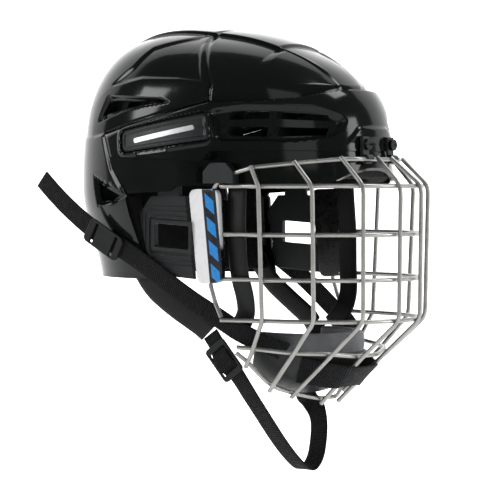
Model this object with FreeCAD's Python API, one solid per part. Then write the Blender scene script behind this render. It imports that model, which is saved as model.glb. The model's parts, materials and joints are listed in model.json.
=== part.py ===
import FreeCAD, Part
import math
import os

# An ice hockey helmet with a wire face cage, a chin cup and its webbing straps.
# Millimetres. +Z is up, -Y is the wearer's front, -X is the wearer's right.
# The origin is the centre of the head cavity at brow level.

V = FreeCAD.Vector
os.makedirs("parts", exist_ok=True)

# ---- driving dimensions -------------------------------------------------
SHELL_FRONT_LENGTH = 153.1    # widest section to the forehead
SHELL_REAR_LENGTH = 116.4     # widest section to the back of the head
SHELL_HALF_WIDTH = 99.8
SHELL_HEIGHT = 128.2          # crown above the brow level
SHELL_CENTRE_Y = 20.0         # the egg-shaped plan is widest here
PLAN_POWER = 2.134            # superellipse power of the plan outline
DOME_POWER_FRONT = 2.47       # roundness of the dome's profile at the forehead
DOME_POWER_REAR = 2.69        # fuller profile at the back
NOSE_DOWN_TILT = 0.0005       # crown leans down towards the forehead, per mm of Y
SKIRT_DEPTH = 75.0            # reach of the rear skirt below brow level
SKIRT_TUCK = 0.14             # share of the plan size lost at the skirt's hem
WALL = 2.5                    # shell wall
SLIDE_GAP = 0.8               # gap between front and rear shells
FOAM_DEPTH = 22.0             # liner's inner face below the shell's outer face
PAD_DEPTH = 27.0              # comfort pads' inner face
WIRE_D = 3.4                  # cage wire
WIRE_NEST = WIRE_D / 2 + 0.03
WEB_WIDTH = 16.0              # strap webbing
WEB_THICK = 1.6
CHEEK_HALF_WIDTH = 79.3       # the shell tucks in here below its ledge, behind the cage
CHEEK_RAMP = (-27.0, -10.0)   # and widens again between these Y values
CAGE_PIVOT_Y = -134.0
CAGE_PIVOT_Z = 21.8


def save(shape, name):
    shape.exportStep("parts/%s.step" % name)


def mirrored(shape):
    return shape.mirror(V(0, 0, 0), V(1, 0, 0))


def both_sides(right_shape, name):
    """Write the wearer's right piece and its mirror image."""
    save(right_shape, name + "_right")
    save(mirrored(right_shape), name + "_left")


def signed_power(value, power):
    return math.copysign(abs(value) ** power, value)


# ---- shell form ---------------------------------------------------------
def plan_share(level, angle, height):
    """Share of the plan size that the dome keeps at a level, in one direction."""
    if level <= 0:
        step = min(-level / SKIRT_DEPTH, 1.0)
        return 1 - SKIRT_TUCK * step * step * (3 - 2 * step)
    middle = (DOME_POWER_FRONT + DOME_POWER_REAR) / 2
    swing = (DOME_POWER_REAR - DOME_POWER_FRONT) / 2
    power = middle + swing * math.sin(angle)
    return max(1 - (level / height) ** power, 0) ** (1 / power)


def shell_point(angle, level, inset):
    """Point of the dome's surface moved inwards by inset."""
    height = SHELL_HEIGHT - inset
    share = plan_share(level, angle, height)
    c, s = math.cos(angle), math.sin(angle)
    length = SHELL_FRONT_LENGTH if s < 0 else SHELL_REAR_LENGTH
    x = (SHELL_HALF_WIDTH - inset) * share * signed_power(c, 2 / PLAN_POWER)
    reach = (length - inset) * share * signed_power(s, 2 / PLAN_POWER)
    z = level * (1 + NOSE_DOWN_TILT * reach)
    return V(x, SHELL_CENTRE_Y + reach, z)


def cheek_point(angle, level, inset):
    """Point of the shell's lower edge band, which tucks in at the cheeks to make room for the cage."""
    point = shell_point(angle, level, inset + 1.5)
    start, end = CHEEK_RAMP
    step = min(max((point.y - start) / (end - start), 0.0), 1.0)
    step = step * step * (3 - 2 * step)
    limit = CHEEK_HALF_WIDTH - inset + step * (SHELL_HALF_WIDTH - 3.0 - CHEEK_HALF_WIDTH)
    near = 1.2
    width = -near * math.log(math.exp(-abs(point.x) / near) + math.exp(-limit / near))
    return V(math.copysign(max(width, 0.0), point.x), point.y, point.z)


def lofted(levels, inset, point_at, steps):
    rings = []
    for level in levels:
        ring = Part.BSplineCurve()
        angles = [2 * math.pi * (i + 0.5) / steps for i in range(steps)]
        ring.interpolate(Points=[point_at(a, level, inset) for a in angles], PeriodicFlag=True)
        rings.append(Part.Wire([ring.toShape()]))
    return Part.makeLoft(rings, True, False)


def dome(inset):
    """Solid of everything inside the dome at an inset."""
    height = SHELL_HEIGHT - inset
    shares = [0.15, 0.33, 0.5, 0.66, 0.8, 0.9, 0.96, 0.994]
    levels = [-78.0, -52.0, -26.0, 0.0] + [height * s for s in shares]
    return lofted(levels, inset, shell_point, 24)


def cheek_band(inset):
    """Solid of everything inside the tucked lower band at an inset."""
    return lofted([-14.0, 14.0, 42.0], inset, cheek_point, 72)


def side_prism(outline, x_from=-130.0, x_to=130.0):
    """Prism along X of a closed outline of (y, z) corners."""
    corners = [V(x_from, y, z) for y, z in outline]
    face = Part.Face(Part.makePolygon(corners + corners[:1]))
    return face.extrude(V(x_to - x_from, 0, 0))


def box(x0, y0, z0, x1, y1, z1):
    return Part.makeBox(x1 - x0, y1 - y0, z1 - z0, V(x0, y0, z0))


def cylinder_x(y, z, radius, x_from, x_to):
    return Part.makeCylinder(radius, x_to - x_from, V(x_from, y, z), V(1, 0, 0))


OUTER = dome(0)
UNDER_WALL = dome(WALL)
UNDER_TONGUE_TOP = dome(WALL + SLIDE_GAP)
UNDER_TONGUE = dome(WALL + SLIDE_GAP + 2.2)
FOAM_TOP = dome(6.0)
FOAM_INNER = dome(FOAM_DEPTH)
PAD_TOP = dome(FOAM_DEPTH + 0.3)
PAD_INNER = dome(PAD_DEPTH)
CHEEK_OUTER = cheek_band(0)
CHEEK_UNDER = cheek_band(WALL)
CHEEK_ROOM = cheek_band(WALL + SLIDE_GAP)

# Outlines in side view, as (y, z).
SEAM = [(-2, 160), (-2, 122), (-14, 104), (-30, 79), (-30, 66), (69, 42), (56, 14), (40, -5)]
BROW_EDGE = [(22, -4), (-2, -3), (-8, 1.2), (-100, 1.2), (-120, 5), (-131, 15), (-160, 15), (-160, 160)]
FRONT_OUTLINE = SEAM + BROW_EDGE
REAR_HEM = [(38, -22), (30, -55), (25, -72), (160, -72), (160, 160)]
REAR_OUTLINE = [(y + SLIDE_GAP, z + SLIDE_GAP) for y, z in SEAM] + REAR_HEM
LEVER_OUTLINE = [(46, 44), (-33, 58), (-37, 37), (44, 27.5)]
LEDGE_LINE = [(-160, 28), (-39, 28), (-32, 21), (50, 24), (90, 25)]
LEDGE_FLOOR = 2.5


def grown(outline, amount):
    """Outline pushed outwards from its middle by about amount."""
    cy = sum(y for y, z in outline) / len(outline)
    cz = sum(z for y, z in outline) / len(outline)
    return [(y + math.copysign(amount, y - cy), z + math.copysign(amount, z - cz)) for y, z in outline]


# Vent slots through both sides of the shells, as (y, z) outlines.
FRONT_VENTS = [
    [(-49, 51.5), (-78, 52.5), (-78, 58), (-50, 58)],
    [(-83, 52), (-113, 50.5), (-112, 55), (-83, 57.5)],
    [(-50, 39.5), (-78, 38.5), (-78, 46), (-50, 46.5)],
    [(-83, 38.5), (-112, 39.5), (-113, 45), (-83, 46)],
]
REAR_VENTS = [
    [(78, 57), (71, 69), (51, 68.3), (55, 61.5)],
    [(47, 67.5), (13, 68.5), (7, 66.7), (48, 62.5)],
    [(78, 4), (50, -6.5), (58, -10.5), (75, -11)],
]


def cut_through_sides(shape, outlines):
    for outline in outlines:
        shape = shape.cut(side_prism(outline))
    return shape


def make_front_shell():
    above_ledge = side_prism(LEDGE_LINE + [(90, 170), (-160, 170)])
    raised_line = [(y, z + LEDGE_FLOOR) for y, z in LEDGE_LINE]
    below_floor_top = side_prism(raised_line + [(90, -80), (-160, -80)])
    front_region = side_prism(FRONT_OUTLINE)
    upper = OUTER.cut(UNDER_WALL).common(above_ledge).common(front_region)
    lower = CHEEK_OUTER.cut(CHEEK_UNDER).common(below_floor_top).common(front_region)
    floor = OUTER.cut(CHEEK_UNDER).common(above_ledge).common(below_floor_top).common(front_region)
    lever_floor = UNDER_WALL.cut(dome(5.2)).common(side_prism(grown(LEVER_OUTLINE, 3.0)))
    pocket_outline = [(y, z - 1.6 if z < 40 else z) for y, z in grown(LEVER_OUTLINE, 0.5)]
    pocket = OUTER.cut(dome(2.8)).common(side_prism(pocket_outline))
    shell = upper.fuse([lower, floor, lever_floor]).cut(pocket)
    shell = cut_through_sides(shell, FRONT_VENTS)
    for y in EAR_SCREW_Y:
        shell = shell.cut(cylinder_x(y, EAR_SCREW_Z, 2.1, -110, 110))
    for side in (-1, 1):
        hole = Part.makeCylinder(2.6, 30, V(side * CLIP_X, -150, CLIP_SCREW_Z), V(0, 1, 0))
        shell = shell.cut(hole)
    right = shell.common(box(-130, -170, -100, 0, 150, 170))
    return right.fuse(mirrored(right))


# ---- cage clips and their screws ---------------------------------------
CLIP_X = 17.6
CLIP_SCREW_Z = 33.0
CLIP_WIDTH = 8.6


def shell_front_y(level, x=0.0):
    """Y of the shell's outer face at the forehead, at a level and a small X."""
    front = shell_point(-math.pi / 2, level, 0).y
    share = 1 - abs(x / SHELL_HALF_WIDTH) ** PLAN_POWER
    return SHELL_CENTRE_Y + (front - SHELL_CENTRE_Y) * share ** (1 / PLAN_POWER)


def make_cage_clip(x):
    """J-shaped clip: a screwed tab with a hook that goes round the cage's top wire."""
    grip = WIRE_D / 2 + 0.25
    rear = CAGE_PIVOT_Y + grip
    eye = cylinder_x(CAGE_PIVOT_Y, CAGE_PIVOT_Z, grip + 1.6, x - CLIP_WIDTH / 2, x + CLIP_WIDTH / 2)
    face_y = shell_front_y(CLIP_SCREW_Z, x) - 0.4
    tab = box(x - CLIP_WIDTH / 2, face_y - 3.0, CAGE_PIVOT_Z, x + CLIP_WIDTH / 2, face_y, CLIP_SCREW_Z + 6)
    clip = eye.fuse(tab)
    bore = cylinder_x(CAGE_PIVOT_Y, CAGE_PIVOT_Z, grip, x - CLIP_WIDTH / 2 - 1, x + CLIP_WIDTH / 2 + 1)
    mouth = box(x - 20, CAGE_PIVOT_Y - 10, CAGE_PIVOT_Z - 8,
                x + 20, CAGE_PIVOT_Y - grip * 0.6, CAGE_PIVOT_Z - 0.5)
    screw_hole = Part.makeCylinder(2.5, 20, V(x, face_y - 10, CLIP_SCREW_Z), V(0, 1, 0))
    return clip.cut(bore).cut(mouth).cut(screw_hole).cut(OUTER)


def make_clip_screw(x):
    face_y = shell_front_y(CLIP_SCREW_Z, x) - 3.5
    head = Part.makeCylinder(4.3, 3.0, V(x, face_y - 3.0, CLIP_SCREW_Z), V(0, 1, 0))
    shank = Part.makeCylinder(2.4, 15.0, V(x, face_y, CLIP_SCREW_Z), V(0, 1, 0))
    slot = box(x - 4, face_y - 3.2, CLIP_SCREW_Z - 0.6, x + 4, face_y - 1.8, CLIP_SCREW_Z + 0.6)
    return head.fuse(shank).cut(slot)


def make_clip_nut(x):
    face_y = shell_front_y(CLIP_SCREW_Z, x)
    seat_y = face_y + WALL + 3.2
    flange = Part.makeCylinder(7.0, 1.5, V(x, seat_y, CLIP_SCREW_Z), V(0, 1, 0))
    barrel = Part.makeCylinder(4.0, 7.0, V(x, seat_y, CLIP_SCREW_Z), V(0, 1, 0))
    bore = Part.makeCylinder(2.42, 30.0, V(x, face_y - 5, CLIP_SCREW_Z), V(0, 1, 0))
    return flange.fuse(barrel).cut(bore)


def make_fasteners():
    pair = (-CLIP_X, CLIP_X)
    save(make_cage_clip(-CLIP_X), "cage_clip_right")
    save(make_cage_clip(CLIP_X), "cage_clip_left")
    save(Part.makeCompound([make_clip_screw(x) for x in pair]), "clip_screws")
    save(Part.makeCompound([make_clip_nut(x) for x in pair]), "clip_nuts")


# ---- rear shell, sliding arms, adjustment levers -------------------------
ARM_X = 89.2
ARM_THICK = 1.5
ARM_Z = (20.0, 34.0)
ARM_Y = (26.0, 84.0)


def make_rear_shell():
    wall = OUTER.cut(UNDER_WALL).common(side_prism(REAR_OUTLINE))
    joggle = [(-1, 112), (9, 112), (9, 160), (-1, 160)]
    step = OUTER.cut(UNDER_TONGUE).common(side_prism(joggle, -70, 70))
    tongue_outline = [(-24, 98), (4, 98), (4, 160), (-24, 160)]
    tongue = UNDER_TONGUE_TOP.cut(UNDER_TONGUE).common(side_prism(tongue_outline, -70, 70))
    shell = wall.fuse(step).fuse(tongue)
    shell = cut_through_sides(shell, REAR_VENTS)
    for side in (-1, 1):
        x0, x1 = sorted((side * ARM_X, side * (ARM_X - ARM_THICK)))
        arm = box(x0, ARM_Y[0], ARM_Z[0], x1, ARM_Y[1], ARM_Z[1]).common(OUTER)
        slot = box(x0 - 1, ARM_Y[0] + 5, 25.0, x1 + 1, ARM_Y[0] + 27, 29.0)
        shell = shell.fuse(arm.cut(slot))
    return shell


def make_adjust_lever():
    """Right-hand lever: it lies flush in its pocket and hinges at its top edge."""
    plate = dome(0.2).cut(dome(2.5)).common(side_prism(LEVER_OUTLINE, -130, 0))
    return plate


# ---- foam liners and pads -------------------------------------------------
def liner(outer, inner, outline, x_from=-130.0, x_to=130.0):
    return outer.cut(inner).common(side_prism(outline, x_from, x_to))


def largest_solid(shape):
    """The foam block itself, without the chips that cutting it by the shell leaves."""
    return max(shape.Solids, key=lambda solid: solid.Volume)


def make_liners(front_shell):
    front_outline = [(-160, 17), (-131, 17), (-120, 8), (-100, 4), (-36, 2), (-36, 62), (-36, 78),
                     (-32, 100), (-30, 160), (-160, 160)]
    front = liner(UNDER_TONGUE_TOP, FOAM_INNER, front_outline)
    for x in (-CLIP_X, CLIP_X):
        pocket = Part.makeCylinder(7.6, 22, V(x, -134, CLIP_SCREW_Z), V(0, 1, 0))
        front = front.cut(pocket)
    low_room = side_prism([(-170, -40), (90, -40), (90, 24), (-32, 20), (-39, 27), (-170, 27)])
    front = front.cut(low_room.cut(CHEEK_ROOM))
    for side in (-1, 1):
        x0, x1 = sorted((side * 80.0, side * 71.5))
        front = front.cut(box(x0, -62, -12, x1, -41, 14))
    front = cut_through_sides(front, FRONT_VENTS).cut(front_shell)
    save(largest_solid(front), "front_liner")

    side_outline = [(-35.4, 2), (37, 2), (52, 16), (62, 38), (60, 42.4), (-28, 63.8), (-35.4, 63.8)]
    side = liner(dome(5.6), FOAM_INNER, side_outline, -130, 0)
    side = side.cut(box(-130, 20, ARM_Z[0] - 1, -ARM_X + 2.8, 100, ARM_Z[1] + 1))
    side = side.cut(box(-130, EAR_TAB[0] - 1, -10, -EAR_X + 6.5, EAR_TAB[1] + 1, EAR_TAB[2] + 1))
    side = side.cut(low_room.cut(CHEEK_ROOM)).cut(front_shell)
    both_sides(largest_solid(side), "side_liner")

    rear_outline = [(-27, 160), (-27, 84), (-27, 68), (70.5, 44.3), (58, 14), (42, -8), (40, -22),
                    (32, -55), (28, -69), (160, -69), (160, 160)]
    rear = liner(FOAM_TOP, FOAM_INNER, rear_outline)
    rear = rear.cut(box(-130, 20, ARM_Z[0] - 0.5, -ARM_X + 2.2, 100, ARM_Z[1] + 0.5))
    rear = rear.cut(box(ARM_X - 2.2, 20, ARM_Z[0] - 0.5, 130, 100, ARM_Z[1] + 0.5))
    for side in (-1, 1):
        x0, x1 = sorted((side * 90.0, side * 76.8))
        rear = rear.cut(box(x0, 20, -75, x1, 56, -50))
    rear = cut_through_sides(rear, REAR_VENTS)
    save(rear, "rear_liner")

    forehead = [(-140, 18), (-62, 10), (-62, 44), (-140, 52)]
    save(liner(PAD_TOP, PAD_INNER, forehead), "forehead_pad")
    temple = [(-56, 6), (-2, 6), (-6, 40), (-56, 40)]
    both_sides(liner(PAD_TOP, PAD_INNER, temple, -130, 0), "temple_pad")
    crown = [(10, 60), (86, 60), (86, 160), (10, 160)]
    save(liner(PAD_TOP, PAD_INNER, crown, -34, 34), "crown_pad")
    nape = [(62, -62), (160, -62), (160, -18), (70, -18)]
    save(liner(PAD_TOP, PAD_INNER, nape), "occipital_pad")


# ---- ear guards -----------------------------------------------------------
EAR_X = 88.0
EAR_THICK = 3.6
EAR_TAB = (-6.0, 16.0, 13.0)      # y from, y to, top of the fixing tab
EAR_OUTLINE = [(-11.6, -6.5), (22.9, -6.5), (34.5, -21), (23, -68), (-20.0, -71)]
EAR_WINDOW = [(-15, -30), (18, -28), (18, -46), (-15, -48)]
EAR_SCREW_Y = (0.0, 10.0)
EAR_SCREW_Z = 5.0


def make_ear_guard():
    x0, x1 = -EAR_X, -EAR_X + EAR_THICK
    plate = side_prism(EAR_OUTLINE, x0, x1)
    tab = box(x0, EAR_TAB[0], -8, x1, EAR_TAB[1], EAR_TAB[2])
    frame = side_prism(grown(EAR_WINDOW, 3.5), x0 - 1.2, x0)
    guard = plate.fuse(tab).fuse(frame).cut(side_prism(EAR_WINDOW, x0 - 5, x1 + 5))
    for y in EAR_SCREW_Y:
        guard = guard.cut(cylinder_x(y, EAR_SCREW_Z, 2.1, x0 - 1, x1 + 1))
    return guard


def make_ear_screws():
    screws = []
    inner_face = -EAR_X + EAR_THICK
    for side in (-1, 1):
        for y in EAR_SCREW_Y:
            shank = cylinder_x(y, EAR_SCREW_Z, 2.0, -92.5, inner_face + 1)
            head = cylinder_x(y, EAR_SCREW_Z, 4.0, inner_face + 0.05, inner_face + 2.0)
            screw = shank.fuse(head)
            screws.append(screw if side < 0 else mirrored(screw))
    return Part.makeCompound(screws)


# ---- bent wire and webbing -------------------------------------------------
def rounded_edges(points, largest_radius):
    """Straight runs joined by tangent arcs, as edges."""
    edges = []
    start = points[0]
    for i in range(1, len(points) - 1):
        a, corner, b = points[i - 1], points[i], points[i + 1]
        to_a, to_b = (a - corner), (b - corner)
        half_turn = (math.pi - to_a.getAngle(to_b)) / 2
        if half_turn < 0.01:
            continue
        run = 0.45 * min(to_a.Length, to_b.Length)
        cut_back = min(run, largest_radius * math.tan(half_turn))
        radius = cut_back / math.tan(half_turn)
        p0 = corner + to_a.normalize() * cut_back
        p1 = corner + to_b.normalize() * cut_back
        inward = (to_a + to_b).normalize()
        middle = corner + inward * (radius / math.cos(half_turn) - radius)
        edges.append(Part.LineSegment(start, p0).toShape())
        edges.append(Part.Arc(p0, middle, p1).toShape())
        start = p1
    edges.append(Part.LineSegment(start, points[-1]).toShape())
    return edges


def bent_wire(points, bend_radius=22.0, diameter=WIRE_D):
    path = Part.Wire(rounded_edges(points, bend_radius))
    direction = (points[1] - points[0]).normalize()
    profile = Part.Wire([Part.Circle(points[0], direction, diameter / 2).toShape()])
    return path.makePipeShell([profile], True, True)


def ribbon(points, across, largest_radius, width=WEB_WIDTH, thick=WEB_THICK):
    """Flat webbing: rectangles joined along a rounded route; across gives its width direction."""
    stations = []
    for edge in rounded_edges(points, largest_radius):
        count = 2 if isinstance(edge.Curve, Part.Line) else 5
        stations += edge.discretize(count) if not stations else edge.discretize(count)[1:]
    lengths = [0.0]
    for a, b in zip(stations, stations[1:]):
        lengths.append(lengths[-1] + (b - a).Length)
    sections = []
    last = len(stations) - 1
    for i, point in enumerate(stations):
        tangent = (stations[min(i + 1, last)] - stations[max(i - 1, 0)]).normalize()
        share = lengths[i] / lengths[-1] * (len(across) - 1)
        k = min(int(share), len(across) - 2)
        blend = share - k
        side = across[k] * (1 - blend) + across[k + 1] * blend
        normal = tangent.cross(side).normalize()
        side = normal.cross(tangent).normalize()
        u, n = side * (width / 2), normal * (thick / 2)
        corners = [point + u + n, point - u + n, point - u - n, point + u - n]
        sections.append(Part.makePolygon(corners + corners[:1]))
    strap = Part.makeLoft(sections, True, True)
    report_ribbon(stations, lengths[-1], width * thick, strap.Volume)
    return strap


def report_ribbon(stations, length, section, volume):
    """Print a strap's length, tightest bend and how its volume compares with its section times length."""
    tightest = float("inf")
    for a, b, c in zip(stations, stations[1:], stations[2:]):
        turn = (b - a).getAngle(c - b)
        if turn > 1e-3:
            tightest = min(tightest, ((b - a).Length + (c - b).Length) / 2 / turn)
    print("strap: length %.1f mm, tightest bend %.1f mm, volume share %.3f"
          % (length, tightest, volume / (section * length)))


# ---- the cage ---------------------------------------------------------------
# Where each vertical wire crosses the rim and the cross wires, as (x, y), right half,
# from the outermost wire to the one beside the nose.
CROSS_LEVELS = [1.0, -36.0, -70.5, -102.0]
RIM_CROSS = [(83, -72, 15.2), (68.6, -101, 18.4), (41.4, -123.7, 21.5), (9.8, CAGE_PIVOT_Y, CAGE_PIVOT_Z)]
UPPER_CROSS = [(82.5, -78), (70.7, -118.7), (45.6, -147.5), (15, -160)]
JAW_CROSS = [(76.2, -77), (65.9, -117), (43.6, -146), (15, -159)]
CHIN_CROSS = [(73, -65, -125), (62, -94, -128), (41, -114, -129), (15, -124, -132)]
HEM_CROSS = [(68, -56, -136), (55, -69, -155), (36, -76, -161), (12, -87, -167)]
FACING = [(0.986, -0.168), (0.883, -0.469), (0.595, -0.804), (0, -1)]
CAGE_SIDE_X = 84.0
CAGE_REAR_Y = -41.5


def lerp(a, b, share):
    return tuple(p + (q - p) * share for p, q in zip(a, b))


def cross_at(level):
    """Crossing points of a level: the bars lean in slightly from brow to jaw."""
    share = (CROSS_LEVELS[0] - level) / (CROSS_LEVELS[0] - CROSS_LEVELS[-1])
    return [lerp(a, b, share) for a, b in zip(UPPER_CROSS, JAW_CROSS)]


def symmetric(right_half):
    """Whole path from its right half, given from the rear end towards the middle."""
    right = [V(-x, y, z) for x, y, z in right_half]
    left = [V(x, y, z) for x, y, z in reversed(right_half)]
    return right + left


def nested(x, y, z, index, amount, droop=0.0):
    """Crossing point moved out or in so that the two wires lie on each other."""
    nx, ny = FACING[index]
    level = math.sqrt(1 - droop * droop)
    return (x + nx * amount * level, y + ny * amount * level, z - droop * amount)


def make_cross_wires():
    for number, level in enumerate(CROSS_LEVELS, start=1):
        inner = [nested(x, y, level, i, -WIRE_NEST) for i, (x, y) in enumerate(cross_at(level))]
        half = [(CAGE_SIDE_X - 1.2, CAGE_REAR_Y, level)] + inner
        save(bent_wire(symmetric(half), 60.0), "cage_wire_h%d" % number)


def make_rim_wire():
    brow = [nested(x, y, z, i, 0) for i, (x, y, z) in enumerate(RIM_CROSS)]
    side = [(43.5, -99.8), (38, -89), (33.5, -76), (31.5, -60), (33, -6), (42, 6.5)]
    half = [(CAGE_SIDE_X + 0.4, -y, z) for y, z in side]
    half += [(CAGE_SIDE_X, -54, 10.6)] + brow[:-1] + [(28.5, CAGE_PIVOT_Y, CAGE_PIVOT_Z)]
    return bent_wire(symmetric(half), 16.0)


def make_vertical_wire(i):
    top = nested(*RIM_CROSS[i], i, WIRE_D + 0.06)
    points = [V(-top[0], top[1], top[2] + 1.2)]
    middle_gap = 0.4 if i == len(RIM_CROSS) - 1 else 0.0
    upper = nested(*UPPER_CROSS[i], CROSS_LEVELS[0], i, WIRE_NEST + middle_gap)
    jaw = nested(*JAW_CROSS[i], CROSS_LEVELS[-1], i, WIRE_NEST)
    chin = nested(*CHIN_CROSS[i], i, WIRE_NEST, 0.76)
    hem = nested(*HEM_CROSS[i], i, WIRE_NEST, 0.76)
    points += [V(-x, y, z) for x, y, z in (upper, jaw, chin)]
    end = V(-hem[0], hem[1], hem[2])
    points.append(end + (end - points[-1]).normalize() * 1.6)
    return bent_wire(points, 14.0)


def make_chin_loop():
    """Upper and lower chin wires: one loop whose two ends meet at each jaw corner."""
    upper = [nested(x, y, z, i, -WIRE_NEST, 0.76) for i, (x, y, z) in enumerate(CHIN_CROSS)]
    lower = [nested(x, y, z, i, -WIRE_NEST, 0.76) for i, (x, y, z) in enumerate(HEM_CROSS)]
    top = symmetric([(75.5, -52, -123)] + upper)
    bottom = symmetric([(72.0, -48.5, -127.5)] + lower)
    save(bent_wire(top, 40.0), "chin_wire_upper")
    save(bent_wire(bottom, 30.0), "chin_wire_lower")


SIDE_PLATE = [(-13.6, -1.5), (-42.0, -0.8), (-45.8, -73), (-22.3, -75)]


def make_side_plate():
    """Right jaw plate that covers the ends of the cross wires."""
    plate = side_prism(SIDE_PLATE, -CAGE_SIDE_X - 3.0, -CAGE_SIDE_X + 3.0)
    rounded = plate.makeFillet(1.2, [e for e in plate.Edges if abs(e.Vertexes[0].X - e.Vertexes[-1].X) > 5])
    channel = box(-CAGE_SIDE_X - 2.2, -60, -120, -CAGE_SIDE_X + 4, -29.0, 20)
    return rounded.cut(channel)


def make_corner_bumper():
    outline = [(-28, -1), (-28, 12), (-35, 19), (-50, 19), (-57, 12), (-57, 3), (-53, -1)]
    block = side_prism(outline, -CAGE_SIDE_X - 4.0, -CAGE_SIDE_X + 4.2)
    rim_room = bent_wire([V(-CAGE_SIDE_X - 0.4, -33, -30), V(-CAGE_SIDE_X - 0.4, -33, -6),
                          V(-CAGE_SIDE_X - 0.4, -42, 6.5), V(-CAGE_SIDE_X, -54, 10.6),
                          V(-83, -72, 15.2)], 24.0, WIRE_D + 0.3)
    floor_room = box(-CAGE_SIDE_X - 9, -60, -6, -CAGE_SIDE_X + 9, -27, 3.1)
    return block.cut(rim_room).cut(floor_room)


# ---- chin cup ----------------------------------------------------------------
CUP_CENTRE = V(0, -62, -122)
CUP_RADII = (54.0, 50.0, 41.0)


def cup_body(inset):
    sphere = Part.makeSphere(1.0)
    squash = FreeCAD.Matrix()
    squash.scale(CUP_RADII[0] - inset, CUP_RADII[1] - inset, CUP_RADII[2] - inset)
    body = sphere.transformGeometry(squash)
    body.translate(CUP_CENTRE)
    return body


def make_chin_cup():
    below_rim = side_prism([(-140, -115), (-52, -113), (-44, -140), (-50, -180), (-140, -180)])
    lower = side_prism([(-140, -131), (-52, -127), (-44, -140), (-50, -180), (-140, -180)])
    strap = make_cage_strap()
    for body, inner, region, name in ((0, 3.0, lower, "chin_cup_shell"), (3.2, 11.0, below_rim, "chin_cup_liner")):
        cup = cup_body(body).cut(cup_body(inner)).common(region)
        save(cup.cut(strap).cut(mirrored(strap)), name)
    across = V(0, 0.726, -0.686)
    right = [V(-41, -86, -141), V(-24, -107.5, -147), V(-12, -115.5, -147)]
    left = [V(-p.x, p.y, p.z) for p in reversed(right)]
    band = ribbon(right + left, [across, across], 8.0, 24.0, 1.5).cut(cup_body(-0.1))
    for wire in (make_vertical_wire(2), make_vertical_wire(3)):
        band = band.cut(wire).cut(mirrored(wire))
    save(band, "chin_cup_band")


# ---- webbing straps ------------------------------------------------------------
SIDEWAYS = V(1, 0, 0)
CAGE_STRAP_ROUTE = [V(-48, -78, -127), V(-62, -70, -121), V(-76, -56, -112), V(-79.5, -38, -101),
                    V(-87.2, -16, -87), V(-91.6, 8, -71), V(-92.6, 38, -53), V(-92.6, 64, -41),
                    V(-92.2, 84, -30), V(-91.2, 104, -17), V(-89.5, 122, -4), V(-88.5, 135, 7)]
HOOK_AT = V(-95.0, 64.9, -41.3)


def flat_to_side(points):
    """Width directions of webbing that lies against the side of the head."""
    sides = []
    last = len(points) - 1
    for i in range(len(points)):
        tangent = (points[min(i + 1, last)] - points[max(i - 1, 0)]).normalize()
        sides.append(tangent.cross(SIDEWAYS).normalize())
    return sides


def make_cage_strap():
    return ribbon(CAGE_STRAP_ROUTE, flat_to_side(CAGE_STRAP_ROUTE), 60.0)


def make_strap_hook():
    """Moulded keeper plate that holds the strap and snaps over the stud."""
    slope = math.degrees(math.atan2(12, 22))
    plate = box(-1.2, -19, -10, 1.2, 19, 10)
    plate = plate.makeFillet(4.0, [e for e in plate.Edges if abs(e.Vertexes[0].X - e.Vertexes[-1].X) > 2])
    for y in (-13, 9):
        plate = plate.cut(box(-3, y, -8.4, 3, y + 3.0, 8.4))
    plate.rotate(V(0, 0, 0), V(1, 0, 0), slope)
    plate.translate(HOOK_AT)
    return plate


def make_hook_studs():
    studs = []
    for side in (-1, 1):
        foot = cylinder_x(HOOK_AT.y, HOOK_AT.z, 3.0, -88.2, -80.0)
        head = cylinder_x(HOOK_AT.y, HOOK_AT.z, 6.0, -90.2, -88.2)
        stud = foot.fuse(head).cut(OUTER)
        studs.append(stud if side < 0 else mirrored(stud))
    return Part.makeCompound(studs)


LOOP_ROUTE = [V(-71, -23, -114), V(-69.5, -29.4, -124), V(-67.5, -38.4, -136), V(-64, -45.8, -148),
              V(-56, -51, -163), V(-45, -56, -180), V(-31, -60, -199), V(-17, -64, -215),
              V(-5, -68, -225), V(4, -71, -216), V(7, -72, -200), V(8, -72, -185),
              V(12, -65, -173), V(22, -48, -168), V(39, -33, -151), V(55, -29, -130),
              V(68, -29, -113)]


def make_chin_loop_strap():
    across = V(0, -1, 0)
    return ribbon(LOOP_ROUTE, [across, across], 40.0)


FRONT_TAB_ROUTE = [V(-74.3, -51.5, 10), V(-75.5, -52, -10), V(-77.5, -53, -36), V(-76, -54, -66),
                   V(-72, -58, -86), V(-67.5, -55, -102), V(-67, -44, -113)]
REAR_TAB_ROUTE = [V(-80.2, 42, -58), V(-80.8, 32, -76), V(-79, 8, -93), V(-75.6, -10, -104),
                  V(-74.4, -18, -109)]
FRONT_SNAP_AT = V(-73.2, -51.5, 4)
REAR_SNAP_AT = V(-78.7, 39.5, -62)


def make_tab(route, width=17.0):
    return ribbon(route, flat_to_side(route), 50.0, width, 2.2)


def make_snaps(at):
    """Press studs that hold a pair of tabs to their shell, on the inner face."""
    snap = cylinder_x(at.y, at.z, 5.5, at.x, at.x + 1.5)
    return Part.makeCompound([snap, mirrored(snap)])


SLIDER_AT = V(-71.3, -36.6, -134)
SLIDER_TILT = 37.0
SLIDER_LEAN = 7.5


def make_slider():
    """Tri-glide buckle that lies on the outer face of the webbing."""
    frame = box(-1.1, -10.4, -15, 1.1, 10.4, 15)
    frame = frame.makeFillet(3.0, [e for e in frame.Edges if abs(e.Vertexes[0].X - e.Vertexes[-1].X) > 2])
    for z in (-10.5, 2.0):
        frame = frame.cut(box(-3, -8.3, z, 3, 8.3, z + 8.0))
    frame.rotate(V(0, 0, 0), V(0, 1, 0), -SLIDER_LEAN)
    frame.rotate(V(0, 0, 0), V(1, 0, 0), -SLIDER_TILT)
    frame.translate(SLIDER_AT)
    return frame


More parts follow.
